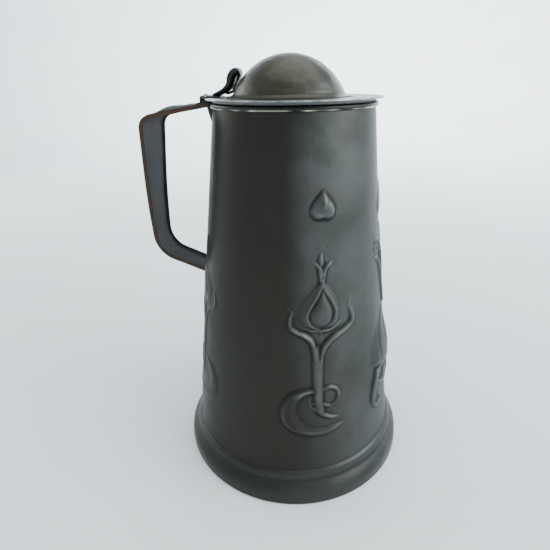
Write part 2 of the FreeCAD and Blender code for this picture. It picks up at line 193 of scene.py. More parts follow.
def lily(s, z):
    """Closed bud on a stem between two tendrils, above a scrolled root."""
    r = Relief(s, z)
    # root: a broad crescent with a thin tail, and a ring beside the stem
    r.leaf([(-6, 86), (-16, 86), (-24, 82), (-29, 74), (-30, 65), (-27, 58), (-20.5, 53), (-10.5, 50.2),
            (-1, 50), (7, 52), (15, 56.5), (24.5, 61.5), (14, 57.6), (6, 56.4), (-2, 55.6), (-10.5, 57.5),
            (-16, 62), (-18.6, 68), (-17.8, 75), (-13, 81), (-6, 83.5)], 2.3, 4.6, 0.85)
    r.add_cord([(-24, 55.2), (-17, 51.5), (-9, 50.2), (-1, 50), (7, 52), (15, 56), (24.5, 61.5)], 0.8, 0.5)
    r.add_cord([(-18.6, 70), (-17.4, 63.5), (-11, 58), (-3, 55.7), (6, 56.3)], 0.8, 0.4)
    r.cord([(-1, 84.5), (3.5, 85.2), (8.3, 82.6), (9.8, 77.8), (7.6, 73.2), (3, 71.5), (-1.5, 74)],
           [1.3, 1.5, 1.5, 1.4, 1.0], 1.7)
    r.cord([(-10, 79), (-10.2, 74.5), (-7.4, 70.5), (-1.2, 65.6), (5, 62.6), (10.4, 61.6)],
           [0.7, 1.0, 1.4, 2.0, 1.5, 0.5], 2.0)
    r.cord([(-9.5, 74.2), (-7.5, 75.6), (-6.4, 73.4), (-7.6, 71.6)], [0.7, 0.8, 0.7], 1.2)
    # stem: one broad rounded band
    r.leaf([(-6.6, 113), (-8.2, 104), (-8, 88), (-7.8, 77), (-6.6, 69), (-3.4, 65.6), (-0.4, 66.6),
            (-0.8, 76), (-0.9, 90), (-0.8, 102), (-1.4, 111), (-3.8, 116)], 2.4, 3.8, 0.8)
    # tendrils
    r.cord([(-22.2, 141.6), (-19.7, 139), (-20.8, 134), (-20.6, 129), (-17.5, 126), (-12.5, 123.2),
            (-8, 118.6), (-6.2, 112), (-5.6, 102)], [0.5, 1.1, 1.6, 1.6, 1.8, 2.0, 2.2, 2.0, 1.8], 2.4, 1.0)
    r.cord([(18.7, 143), (17.0, 139.4), (19.3, 133.5), (19.2, 127.6), (13.4, 123.6), (6, 120.2),
            (0.2, 115), (-2.2, 109), (-3.0, 100)], [0.5, 1.1, 1.7, 1.9, 2.1, 2.2, 2.2, 2.0, 1.6], 2.4, 1.0)
    r.add_cord([(-3.2, 121), (-3.3, 116), (-3.4, 111), (-3.5, 106)], 0.8, -1.0)
    r.add_cord([(-20.4, 137.5), (-21.8, 131), (-19.5, 126.6), (-13.5, 124.3), (-8.7, 119.8), (-5.4, 113)],
               0.75, 0.3)
    r.add_cord([(16.6, 139), (17.6, 133), (16.8, 128.5), (11.2, 124.8), (4, 121.6), (-1, 116.4), (-2.6, 109)],
               0.8, -0.5)
    r.add_cord([(18.9, 140), (21.0, 133), (20.6, 127)], 0.8, 0.4)
    # bud: outer petals, the inner bud, and two cords that cross at the neck
    r.leaf([(-1, 161), (-3.4, 156), (-8.2, 150), (-13.2, 144), (-15.4, 138), (-14.4, 132), (-10.5, 128.2),
            (-3, 126.6), (4.5, 126.8), (9, 129), (10.8, 134), (10, 141), (6.4, 149), (1.6, 156)],
           1.4, 3.8, 0.9)
    r.leaf([(-0.9, 155), (-4.0, 147.5), (-7.6, 141), (-8.8, 135.0), (-6.2, 129.8), (-1.8, 127.8),
            (2.8, 128.8), (5.7, 133.0), (5.9, 138.6), (3.4, 144.8), (0.9, 150)], 3.0, 5.4, 0.8)
    r.add_cord([(-0.9, 154.5), (-4.1, 147.6), (-8.2, 141), (-9.2, 135.2), (-6.6, 129.8), (-2, 127.6)],
               0.8, -0.6)
    r.add_cord([(-0.7, 154.5), (1.6, 149), (4.6, 142.6), (6, 137), (4.6, 131.4), (1.6, 128.4)], 0.8, -0.7)
    r.cord([(-2.6, 163.6), (-1.4, 157), (0.9, 151.2), (4.8, 144.4), (7.2, 138.4), (6.6, 132.4), (3.6, 128)],
           [0.9, 1.1, 1.3, 1.4, 1.3, 1.1, 0.7], 2.6, 1.1)
    r.cord([(0.8, 163.4), (-0.7, 157), (-4.2, 149), (-8.6, 142), (-10.8, 135.8), (-8.6, 130), (-4.2, 127)],
           [0.9, 1.1, 1.3, 1.4, 1.3, 1.1, 0.7], 2.7, 1.1)
    r.cord([(-12.8, 128.4), (-8, 126.4), (-2, 125.4), (4.5, 126), (11.4, 129.6)],
           [0.5, 0.9, 1.0, 0.9, 0.5], 1.9)
    r.add_cord([(-4.8, 125.4), (-4.2, 121), (-3.7, 116)], 1.2, -1.9)
    r.add_cord([(-1.9, 125), (-2.2, 121), (-2.8, 117)], 0.7, 0.9)
    # tip of the bud, with two prongs
    r.leaf([(-1.7, 173.2), (-3.2, 170), (-2.6, 167), (-1.5, 165.6), (-0.4, 167), (-0.1, 170)], 2.0, 1.7, 0.7)
    r.cord([(-7.2, 168.6), (-4.6, 167.4), (-2.4, 164.8), (-1.5, 161)], [0.4, 1.0, 1.3, 1.3], 2.0)
    r.cord([(5.4, 168), (2.8, 166.4), (0.6, 164.2), (-0.5, 161)], [0.4, 1.0, 1.3, 1.3], 2.0)
    return r.h


def heart(s, z):
    """Drop-shaped boss with a cleft lower end."""
    r = Relief(s, z)
    r.leaf([(0.3, 208.5), (-3.0, 205.6), (-6.4, 201.4), (-7.5, 197.4), (-5.8, 194.0), (-3.0, 192.8),
            (-0.4, 193.2), (2.3, 192.7), (5.4, 193.4), (7.4, 197), (6.6, 201.2), (3.6, 205.4)], 3.3, 4.6)
    r.add_cord([(0.3, 207), (0.2, 203), (0.3, 199)], 1.3, 0.5)
    return r.h


def tulip(s, z):
    """The front ornament, even about its middle line: a broad bulb, a neck, spread leaf tips, a drop."""
    r = Relief(np.abs(s), z)
    # foot curls under the bulb
    r.cord([(20, 80), (28, 78), (33, 72), (37.4, 63), (38.6, 55.5), (34, 50.5), (28, 53), (29.5, 58.5)],
           [2.8, 2.8, 2.6, 2.5, 2.2, 1.8, 1.4, 1.0], 2.5, 1.0)
    r.cord([(3, 78), (9, 70), (18, 64), (27, 66), (32.5, 72)], [2.4, 2.4, 2.2, 1.8, 1.0], 2.2, 1.0)
    r.leaf(mirrored([(0, 88), (5, 82), (7, 72), (4.5, 62), (0, 56)]), 2.4, 4.5, 0.8)
    # bulb, broadest low down, with chased seams
    r.leaf(mirrored([(0, 133), (5, 129.5), (12, 124), (20, 116.5), (27, 109), (33.5, 101), (36.6, 92),
                     (36, 84), (30, 78.5), (20, 73), (9, 70.5), (0, 70)]), 3.6, 12.0, 1.1)
    r.h *= 1 - 0.8 * smooth(r.z, 88, 114)
    r.add_cord([(3, 128), (14, 117), (23, 104), (26.5, 92), (24, 81)], 1.0, -0.8)
    r.add_cord([(1.5, 126), (7, 113), (11, 98), (10, 84)], 1.0, -0.7)
    # neck of two cords, spreading into leaf tips with a small eye between them
    r.cord([(5.0, 122), (7.2, 131), (9.6, 141), (12.6, 150), (17.2, 157), (23, 160.2), (29, 160.6)],
           [2.2, 2.1, 2.1, 2.2, 2.0, 1.5, 0.5], 1.7, 1.0)
    r.cord([(3.2, 138), (6, 150), (9.6, 160.5), (14.6, 168), (21, 171.6), (29, 173)],
           [1.6, 1.9, 2.1, 2.1, 1.7, 0.5], 1.7, 1.0)
    r.leaf(mirrored([(0, 178), (4.5, 169), (6.4, 158), (5.4, 146), (3.0, 134), (0, 126)]), 0.8, 3.4)
    r.leaf([(13.5, 163.5), (17, 161.4), (22, 162.8), (25, 166.4), (21.4, 169.4), (16.6, 168)], 1.0, 2.6)
    r.pit((20.2, 165.8), 1.5, 1.0)
    # drop-shaped boss
    r.leaf(mirrored([(0, 207.5), (4.5, 203.5), (10, 198.2), (14.6, 192.4), (14.2, 187.6), (9.4, 184.6),
                     (4.4, 184.8), (0, 186.8)]), 0.9, 6.5, 0.8)
    return r.h


# ---- building meshes ----------------------------------------------------------------------
def grid_mesh(name, points, body, material, relief, loop_rows=True, lining=None):
    """Mesh from rows x columns of points in mm; columns run round, rows may close on themselves.

    relief is a number for each point, which its material reads: above 0 rubbed pale, and on the bead, the
    brim's edge and the foot's roll also a painted highlight; below 0 darker, which on the bead and in the
    foot's cove is painted shade.
    lining is (material, first row, last row) for rows that face inwards.
    """
    rows, cols = points.shape[:2]
    index = np.arange(rows * cols).reshape(rows, cols)
    nxt_r = np.roll(index, -1, axis=0) if loop_rows else index[1:]
    cur_r = index if loop_rows else index[:-1]
    a, b = cur_r, np.roll(cur_r, -1, axis=1)
    c, d = np.roll(nxt_r, -1, axis=1), nxt_r
    quads = np.stack([a, b, c, d], -1).reshape(-1, 4)
    mesh = bpy.data.meshes.new(name)
    mesh.vertices.add(rows * cols)
    mesh.vertices.foreach_set("co", (points.reshape(-1) * MM).astype(np.float32))
    mesh.loops.add(quads.size)
    mesh.loops.foreach_set("vertex_index", quads.reshape(-1).astype(np.int32))
    mesh.polygons.add(len(quads))
    mesh.polygons.foreach_set("loop_start", np.arange(0, quads.size, 4, dtype=np.int32))
    mesh.update(calc_edges=True)
    mesh.polygons.foreach_set("use_smooth", np.ones(len(quads), bool))
    layer = mesh.attributes.new("relief", "FLOAT", "POINT")
    layer.data.foreach_set("value", relief.reshape(-1).astype(np.float32))
    mesh.materials.append(material)
    if lining is not None:
        mesh.materials.append(lining[0])
        row = np.repeat(np.arange(len(cur_r)), cols)
        within = (row >= lining[1]) & (row < lining[2])
        mesh.polygons.foreach_set("material_index", within.astype(np.int32))
    mesh.validate()
    obj = bpy.data.objects.new(name, mesh)
    bpy.context.scene.collection.objects.link(obj)
    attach(obj, body)
    return obj


def spin(outline, cols, wobble=None):
    """Rows x columns of points: the outline of (radius, z) turned round the axis."""
    turn = np.linspace(0, TAU, cols, endpoint=False)
    r = outline[:, 0][:, None] * np.ones(cols)
    z = outline[:, 1][:, None] * np.ones(cols)
    t = turn[None, :] * np.ones((len(outline), 1))
    if wobble is not None:
        dr, dz = wobble(t, r, z)
        r, z = r + dr, z + dz
    return np.stack([r * np.cos(t), r * np.sin(t), z], -1)


def waves(t, z, seed, size, around=(2, 3, 4, 5, 7)):
    """Slow unevenness of hand work: a sum of waves round and along the piece."""
    along = z / 40.0
    rng = np.random.default_rng(seed)
    total = 0
    for k in around:
        a, b, c = rng.uniform(0, TAU, 3)
        twist = np.sin(along * rng.uniform(0.6, 1.4) + b)
        total = total + np.sin(k * t + a + twist) / k * np.cos(along + c)
    return size * total


def dense(points, step):
    """Points closer together along straight runs."""
    p = np.array(points, float)
    out = []
    for a, b in zip(p[:-1], p[1:]):
        n = max(1, int(np.hypot(*(b - a)) / step))
        out += [a + (b - a) * i / n for i in range(n)]
    out.append(p[-1])
    return np.array(out)


# ---- materials ----------------------------------------------------------------------------
def tree_of(name):
    """A new material, its node tree and its shader."""
    mat = bpy.data.materials.new(name)
    mat.use_nodes = True
    tree = mat.node_tree
    return mat, tree, tree.nodes["Principled BSDF"]


def add(tree, kind, **inputs):
    """A new node with the given input values."""
    node = tree.nodes.new(kind)
    for key, value in inputs.items():
        node.inputs[key.replace("_", " ")].default_value = value
    return node


def noise(tree, coords, scale, detail, rough, distort=0.0):
    """Grey noise, 0 to 1."""
    node = add(tree, "ShaderNodeTexNoise", Scale=scale, Detail=detail, Roughness=rough, Distortion=distort)
    tree.links.new(coords, node.inputs["Vector"])
    return node.outputs["Fac"]


def ramp(tree, fac, stops):
    """A smooth step between two stops, each (position, value)."""
    node = tree.nodes.new("ShaderNodeMapRange")
    node.inputs["From Min"].default_value = stops[0][0]
    node.inputs["From Max"].default_value = stops[1][0]
    node.inputs["To Min"].default_value = stops[0][1]
    node.inputs["To Max"].default_value = stops[1][1]
    node.interpolation_type = "SMOOTHSTEP"
    tree.links.new(fac, node.inputs["Value"])
    return node.outputs["Result"]


def mix(tree, fac, a, b):
    """Colour a where fac is 0, b where it is 1. Each is a colour or another node's output."""
    node = tree.nodes.new("ShaderNodeMix")
    node.data_type = "RGBA"
    tree.links.new(fac, node.inputs["Factor"])
    for value, socket in ((a, node.inputs[6]), (b, node.inputs[7])):
        if isinstance(value, tuple):
            socket.default_value = (*value, 1)
        else:
            tree.links.new(value, socket)
    return node.outputs[2]


def maths(tree, op, a, b):
    """a and b put together by op. b is a number or another node's output."""
    node = tree.nodes.new("ShaderNodeMath")
    node.operation = op
    tree.links.new(a, node.inputs[0])
    if isinstance(b, float):
        node.inputs[1].default_value = b
    else:
        tree.links.new(b, node.inputs[1])
    return node.outputs[0]


def painted_side_shade(tree, coords, cloud, colour, shaded_side):
    """The colour with painted shade over one side of the piece: the handle side, away from the window light,
    is painted darker.

    shaded_side is (colour, x from, x to, slack): the painted shade ends between those x values, in metres.
    Low down on the piece its end is drawn out, the more so the smaller slack is.
    """
    shade, x_from, x_to, slack = shaded_side
    middle, half = (x_from + x_to) / 2, (x_to - x_from) / 2
    low, high = 0.05, 0.18
    ragged = 0.006
    split = tree.nodes.new("ShaderNodeSeparateXYZ")
    tree.links.new(coords, split.inputs[0])
    x, z = split.outputs["X"], split.outputs["Z"]
    across = maths(tree, "ADD", x, maths(tree, "MULTIPLY", cloud, ragged))
    across = maths(tree, "SUBTRACT", across, middle + ragged / 2)
    across = maths(tree, "MULTIPLY", across, ramp(tree, z, ((low, slack), (high, 1.0))))
    across = maths(tree, "ADD", across, ramp(tree, z, ((low, -0.008), (high, 0.0))))
    side = ramp(tree, across, ((-half, 0.95), (half, 0.0)))
    return mix(tree, side, colour, shade)


def abrasion_and_painted_light(tree, patch, colour, dark, abraded_and_glint_colour, abrasion_and_glint_amount):
    """The colour, darker where the relief attribute is low and pale in patches where it is high: wear and
    patina on the raised work, painted shade and painted highlight where the marks on the bead, the brim's
    edge and the foot ask for them.
    """
    height = tree.nodes.new("ShaderNodeAttribute")
    height.attribute_name = "relief"
    high = ramp(tree, height.outputs["Fac"], ((0.2, 0.0), (1.0, 1.0)))
    low = ramp(tree, height.outputs["Fac"], ((-1.0, 1.0), (-0.1, 0.0)))
    # darker where the mark is low: patina in the wall's hollows, painted shade on the bead and in the foot's
    # cove
    colour = mix(tree, maths(tree, "MULTIPLY", low, 0.8), colour, tuple(0.25 * c for c in dark))
    # pale in patches where the mark is high: wear on the raised work and edges, a painted highlight on the
    # bead, the brim's edge and the foot's roll
    abrasion_light_mark = maths(tree, "MULTIPLY", high, ramp(tree, patch, ((0.38, 0.25), (0.62, 0.9))))
    return mix(tree, maths(tree, "MULTIPLY", abrasion_light_mark, 0.55 * abrasion_and_glint_amount), colour, abraded_and_glint_colour)


def pewter(name, dark, light, brown, abraded_and_glint_colour, rough=(0.32, 0.48), relief=False, shaded_side=None, abrasion_and_glint_amount=1.0, glance=1.0):
    """Old pewter: a dark uneven patina, brown where handled, painted shade over one side, pale where rubbed,
    fine dents and pits. On the bead, the brim's edge and the foot some pale and dark marks are painted
    highlight and painted shade.

    shaded_side is for painted_side_shade(), abraded_and_glint_colour and abrasion_and_glint_amount are for
    abrasion_and_painted_light(), and glance below 1 darkens the glancing shine.
    """
    mat, tree, shader = tree_of(name)
    coords = tree.nodes.new("ShaderNodeTexCoord").outputs["Object"]
    cloud = noise(tree, coords, 16.0, 5.0, 0.6, 0.4)
    patch = noise(tree, coords, 55.0, 6.0, 0.65, 0.6)
    grain = noise(tree, coords, 900.0, 3.0, 0.7)
    colour = mix(tree, ramp(tree, cloud, ((0.36, 0.0), (0.64, 1.0))), dark, light)
    mottle = maths(tree, "MULTIPLY", ramp(tree, patch, ((0.5, 0.0), (0.72, 1.0))), 0.45)
    colour = mix(tree, mottle, colour, brown)
    # painted shade: the side away from the window light is painted darker
    if shaded_side is not None:
        colour = painted_side_shade(tree, coords, cloud, colour, shaded_side)
    speck = ramp(tree, noise(tree, coords, 420.0, 2.0, 0.5), ((0.66, 0.0), (0.74, 1.0)))
    colour = mix(tree, maths(tree, "MULTIPLY", speck, 0.35), colour, tuple(0.55 * c for c in dark))
    if relief:
        colour = abrasion_and_painted_light(tree, patch, colour, dark, abraded_and_glint_colour, abrasion_and_glint_amount)
    tree.links.new(colour, shader.inputs["Base Color"])
    shader.inputs["Metallic"].default_value = 0.88
    shader.inputs["Specular Tint"].default_value = (glance, glance, glance, 1)
    uneven = maths(tree, "ADD", maths(tree, "MULTIPLY", cloud, 0.6), maths(tree, "MULTIPLY", grain, 0.4))
    tree.links.new(ramp(tree, uneven, ((0.35, rough[0]), (0.65, rough[1]))), shader.inputs["Roughness"])
    dents = noise(tree, coords, 120.0, 3.0, 0.5)
    surface = maths(tree, "ADD", dents, maths(tree, "MULTIPLY", grain, 0.10))
    bump = add(tree, "ShaderNodeBump", Strength=0.12, Distance=0.0012)
    tree.links.new(surface, bump.inputs["Height"])
    tree.links.new(bump.outputs["Normal"], shader.inputs["Normal"])
    return mat


OLIVE = (0.046, 0.042, 0.032)
PALE = (0.17, 0.18, 0.175)
# the shaded_side colours of the body, foot and dome are painted shade on the handle side, away from the
# window light
body_metal = pewter("pewter_body", (0.044, 0.047, 0.043), (0.075, 0.080, 0.077), OLIVE, PALE, relief=True,
                    shaded_side=((0.0250, 0.0236, 0.0190), 0.001, 0.018, 0.3), glance=0.75)
foot_metal = pewter("pewter_foot", (0.033, 0.036, 0.033), (0.056, 0.060, 0.058), OLIVE, PALE, relief=True,
                    shaded_side=((0.029, 0.029, 0.024), -0.04, 0.068, 1.0))
dome_metal = pewter("pewter_dome", (0.085, 0.090, 0.080), (0.150, 0.158, 0.150), (0.066, 0.060, 0.043),
                    PALE, relief=True, shaded_side=((0.046, 0.044, 0.031), -0.005, 0.044, 1.0), rough=(0.30, 0.42))
# the brim's pale colour on its rounded edge is rubbed metal and partly a painted highlight
brim_metal = pewter("pewter_brim", (0.064, 0.064, 0.055), (0.100, 0.101, 0.091), (0.064, 0.056, 0.038),
                    (0.50, 0.49, 0.51), rough=(0.3, 0.42), relief=True, abrasion_and_glint_amount=1.7)
# the bead's dark colours are painted shadow from the brim above it; its pale cream colour is a painted
# highlight on rubbed metal
bead_painted_light_metal = pewter("pewter_bead_painted_light", (0.020, 0.019, 0.019), (0.042, 0.041, 0.043), (0.040, 0.026, 0.018),
                    (0.95, 0.88, 0.66), relief=True, rough=(0.26, 0.38), abrasion_and_glint_amount=2.6)
strap_metal = pewter("pewter_strap", (0.026, 0.026, 0.027), (0.044, 0.045, 0.047), (0.034, 0.028, 0.024),
                     (0.085, 0.045, 0.030), relief=True, abrasion_and_glint_amount=1.7, glance=0.6, rough=(0.42, 0.6))
hinge_dark = pewter("pewter_hinge", (0.022, 0.024, 0.023), (0.05, 0.052, 0.05), (0.036, 0.028, 0.02), PALE)
thumb_dark = pewter("pewter_thumb", (0.020, 0.022, 0.022), (0.046, 0.050, 0.052), (0.030, 0.026, 0.021), PALE,
                    relief=True)
inner_grey = pewter("pewter_inside", (0.16, 0.165, 0.16), (0.25, 0.255, 0.25), (0.17, 0.15, 0.12), PALE,
                    rough=(0.5, 0.7))

CAD_LOOK = {
    "foot_edge_wire": foot_metal, "bottom_disc": inner_grey, "handle_foot": strap_metal,
    "handle_tongue": hinge_dark, "hinge_fixed_leaf": hinge_dark, "hinge_pin": hinge_dark,
    "hinge_lid_leaf": hinge_dark, "lid_collar": inner_grey,
}
for name, material in CAD_LOOK.items():
    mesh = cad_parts[name].data
    mesh.materials.clear()
    mesh.materials.append(material)


# ---- body wall with its raised work -------------------------------------------------------
# each: degrees round from the pouring side, drawing, 1 or -1 for mirrored, share of its full height
MOTIFS = (
    (0.0, tulip, 1, 1.0),
    (-65.4, lily, 1, 1.0), (-65.4, heart, 1, 1.0),
    (65.4, lily, -1, 1.0), (65.4, heart, -1, 1.0),
    (-155.0, lily, -1, 0.32), (155.0, lily, 1, 0.32),
)
# every drawing lies within this half width and between these heights
MOTIF_HALF, MOTIF_LOW, MOTIF_HIGH = 44, 44, 212


def blurred(field, times):
    """Field with each point averaged with its neighbours, times over; columns run round."""
    for _ in range(times):
        field = (np.roll(field, 1, 1) + np.roll(field, -1, 1) + 2 * field) / 4
        up, down = np.vstack([field[:1], field[:-1]]), np.vstack([field[1:], field[-1:]])
        field = (up + down + 2 * field) / 4
    return field


def raised_work(t, z):
    """Height of all the drawings on the wall, at angle t and height z."""
    height = np.zeros_like(z)
    for degrees, draw, mirror, share in MOTIFS:
        off = (t - math.radians(degrees) + math.pi) % TAU - math.pi
        s = mirror * off * wall_r(z)
        near = (np.abs(s) < MOTIF_HALF) & (z > MOTIF_LOW) & (z < MOTIF_HIGH)
        drawn = share * draw(s[near], z[near])
        height[near] = np.where(drawn < 0, drawn, np.maximum(height[near], drawn))
    return blurred(height, 1)


def build_wall():
    """The wall as one closed sheet: raised work outside, plain inside."""
    turn = np.linspace(0, TAU, WALL_ROUND, endpoint=False)
    low, high = LAP_Z + 0.2, TOP_Z - 0.5
    t, z = np.meshgrid(turn, np.linspace(low, high, WALL_RISE))
    height = raised_work(t, z)
    # in the photo the wall bows a little towards the handle at mid height
    bow = -0.8 * np.cos(t) * np.sin(math.pi * (z - SEAM_Z) / (RIM_Z - SEAM_Z))
    hand = waves(t, z, 5, 0.16) + bow + 0.1
    fade = smooth(z, SEAM_Z, SEAM_Z + 6) * (1 - smooth(z, RIM_Z - 8, RIM_Z - 2))
    out = wall_r(z) + (height + hand) * fade
    outer = np.stack([out * np.cos(t), out * np.sin(t), z], -1)
    lip_r, lap_r = wall_r(TOP_Z), wall_r(LAP_Z)
    lip = spin(np.array([(lip_r - 0.15, TOP_Z - 0.12), (lip_r - 0.6, TOP_Z), (lip_r - 1.05, TOP_Z - 0.12)]),
               WALL_ROUND)
    down = np.linspace(high, low, 24)
    inner = spin(np.stack([wall_r(down) - SHEET, down], -1), WALL_ROUND)
    hem = spin(np.array([(lap_r - 1.0, LAP_Z), (lap_r - 0.2, LAP_Z)]), WALL_ROUND)
    points = np.concatenate([outer, lip, inner, hem])
    # positive on crests, negative in the hollows beside raised work
    mark = np.zeros(points.shape[:2])
    mark[:WALL_RISE] = np.clip((height - blurred(height, 10)) * 2.6, -1, 1) * fade
    wall = grid_mesh("wall_raised_work", points, "vessel", body_metal, mark,
                     lining=(inner_grey, WALL_RISE + len(lip), len(points) - len(hem)))
    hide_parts("body_wall")


build_wall()


# ---- foot, bead, brim, dome ---------------------------------------------------------------
def build_foot():
    """Spread foot: a soft roll under the seam, a shallow cove, a full flare and a rubbed lower edge."""
    # both lines are (radius, height)
    outside = flowing([(75.2, 22.1), (76.1, 21.6), (77.3, 20.5), (78.1, 18.8), (78.6, 16.9), (79.5, 15.0),
                       (81.1, 13.0), (82.7, 10.8), (83.7, 8.2), (84.1, 5.8), (84.25, 3.6), (84.3, 1.9),
                       (84.3, 0.9), (84.15, 0.3), (83.9, 0.05)], 6)
    inside_line = dense([(83.0, 0.05), (82.5, 2.2), (80.2, 9.6), (76.8, 15.6), (75.4, 19.0), (74.0, 21.0),
                         (74.0, 22.1)], 1.5)
    outline = np.vstack([outside, inside_line])

    def wobble(t, r, z):
        """Uneven, and hanging lower towards the handle; the edge on the table stays flat."""
        side = np.cos(t - math.radians(170.0))
        sag = 0.07 * side + 0.10 * np.maximum(side, 0) ** 2
        return waves(t, z, 9, 0.06, (2, 3, 5, 6)), -sag * z * smooth(z, 0.5, 12)

    points = spin(outline, RING_ROUND, wobble)
    z = outside[:, 1]
    # rubbed on the lower edge; a painted highlight on the roll and painted shade in the cove
    abrasion_light_mark = 0.9 * bell(z, 0.8, 0.7) + 0.35 * bell(z, 20.2, 0.7) - 0.55 * bell(z, 16.2, 1.5)
    mark = np.zeros(points.shape[:2])
    mark[:len(outside)] = abrasion_light_mark[:, None]
    foot = grid_mesh("foot_spread", points, "vessel", foot_metal, mark)
    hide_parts("foot_skirt")


def build_bead():
    """Half-round bead round the mouth, in painted shadow from the brim with a band of painted shadow along
    its middle; its lower edge rubbed, and painted bright as a highlight, in patches.
    """
    a = np.linspace(-math.pi / 2, math.pi / 2, 16)
    curve = np.stack([RIM_R + 0.05 + BEAD_PROUD * np.cos(a), RIM_Z + BEAD_HALF * np.sin(a)], -1)
    back = np.array([(RIM_R - 0.2, RIM_Z + 1.5), (RIM_R - 0.2, RIM_Z), (RIM_R - 0.1, RIM_Z - 1.6)])
    outline = np.vstack([curve, back])
    points = spin(outline, RING_ROUND, lambda t, r, z: (waves(t, z, 3, 0.05), waves(t, z, 4, 0.06)))
    turn = np.linspace(0, TAU, RING_ROUND, endpoint=False)
    patch = 0.75 + 0.5 * np.sin(7 * turn + 1.0) * np.sin(3 * turn + 0.4) + 0.25 * np.sin(23 * turn)
    # lower edge: rubbed metal with a painted highlight, in patches; middle: a band of painted shadow under
    # the brim
    low = bell(outline[:, 1], RIM_Z - 0.95, 0.55)
    middle = bell(outline[:, 1], RIM_Z, 0.7)
    mark = low[:, None] * np.clip(patch, 0, 1)[None, :] - 0.4 * middle[:, None]
    bead = grid_mesh("rim_bead_shaded_and_lit", points, "vessel", bead_painted_light_metal, mark)
    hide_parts("rim_bead")


def build_brim():
    """Thin flat brim with a rounded edge, a little uneven; notched where the hinge passes."""
    hole_r, notch_r = 32.5, 52.3
    soft = 0.12
    outline = np.vstack([
        dense([(hole_r, BRIM_Z), (BRIM_R - 0.4, BRIM_Z)], 2.0),
        np.array([(BRIM_R - soft, BRIM_Z + soft), (BRIM_R, (BRIM_Z + BRIM_TOP) / 2),
                  (BRIM_R - soft, BRIM_TOP - soft)]),
        dense([(BRIM_R - 0.4, BRIM_TOP), (hole_r, BRIM_TOP)], 2.0),
    ])

    def wobble(t, r, z):
        """Notched over the hinge, and uneven towards the edge except near the hinge."""
        behind = np.abs(t - math.pi)
        cut = np.clip(r - notch_r, 0, 2) * np.exp(-((behind / 0.21) ** 8))
        edge = smooth(r, 40, BRIM_R) * (1 - np.exp(-((behind / 0.5) ** 4)))
        return -cut, waves(t, 0 * z, 12, 0.10, (2, 3, 5)) * edge

    points = spin(outline, RING_ROUND, wobble)
    # the hole is round the dome's middle, the rest round the body's axis
    hole = points[..., 0] ** 2 + points[..., 1] ** 2 < (hole_r + 1.5) ** 2
    points[..., 0] = np.where(hole, points[..., 0] + DOME_X, points[..., 0])
    # rubbed pale on the rounded edge, partly a painted highlight
    mark = np.where(outline[:, 0] > BRIM_R - 0.7, 1.0, 0.0)[:, None] * np.ones(RING_ROUND)
    brim = grid_mesh("lid_brim_plate", points, "lid", brim_metal, mark)
    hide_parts("lid_brim")


def hammered(unit):
    """Depth of the planishing marks, below 0, at each direction from the ball's centre."""
    rng = np.random.default_rng(21)
    rings = [(84, 4), (74, 11), (65, 18), (56, 23), (48, 28), (40, 31), (32, 34)]
    mark_r = 5.4
    cups = []
    for ring, (degrees_up, count) in enumerate(rings):
        for k in range(count):
            a = TAU * k / count + ring * 0.4 + rng.normal(0, 0.06)
            b = math.radians(degrees_up + rng.normal(0, 1.8))
            spot = np.array([math.cos(b) * math.cos(a), math.cos(b) * math.sin(a), math.sin(b)])
            gap = DOME_R * np.arccos(np.clip(unit @ spot, -1, 1))
            cups.append(rng.uniform(0.12, 0.24) * (1 - (gap / mark_r) ** 2))
    return -np.maximum(np.maximum.reduce(cups), 0)


def build_dome():
    """Hammered dome: overlapping shallow planishing marks, hollow curve and flange at its foot."""
    centre_z = DOME_TOP - DOME_R
    top, low = math.pi / 2 - 0.004, math.radians(25)
    rise = np.linspace(top, low, 90)
    ball = np.stack([DOME_R * np.cos(rise), centre_z + DOME_R * np.sin(rise)], -1)
    flare = flowing([tuple(ball[-1]), (34.2, BRIM_TOP + 1.7), (35.4, BRIM_TOP + 0.95),
                     (37.2, BRIM_TOP + 0.65), (DOME_FOOT_R - 0.1, BRIM_TOP + 0.45),
                     (DOME_FOOT_R, BRIM_TOP + 0.15)], 5)[1:]
    under = dense([(DOME_FOOT_R - 0.2, BRIM_TOP + 0.02), (33.0, BRIM_TOP + 0.02)], 1.5)
    rise_in = np.linspace(low, top, 24)
    shell_r = DOME_R - DOME_SHEET
    shell = np.stack([shell_r * np.cos(rise_in), centre_z + shell_r * np.sin(rise_in)], -1)
    outline = np.vstack([ball, flare, under, shell])
    points = spin(outline, DOME_ROUND)
    n = len(ball)
    way = points[:n] - np.array([0, 0, centre_z])
    unit = way / np.linalg.norm(way, axis=-1, keepdims=True)
    dent = hammered(unit)
    # no marks at the very top, and none where the flare starts
    row = np.arange(n)
    keep = smooth(row, -1, 6)[:, None] * (1 - smooth(row, n - 8, n - 1))[:, None]
    points[:n] += unit * (dent * keep)[..., None]
    mark = np.zeros(points.shape[:2])
    mark[:n] = np.clip(dent * 3 + 0.25, -0.4, 0.4) * keep
    mark[n:n + len(flare)] = -0.5
    points[..., 0] += DOME_X
    dome = grid_mesh("lid_dome_hammered", points, "lid", dome_metal, mark,
                     lining=(inner_grey, n + len(flare), len(outline)))
    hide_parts("lid_dome")


build_foot()
build_bead()
build_brim()
build_dome()


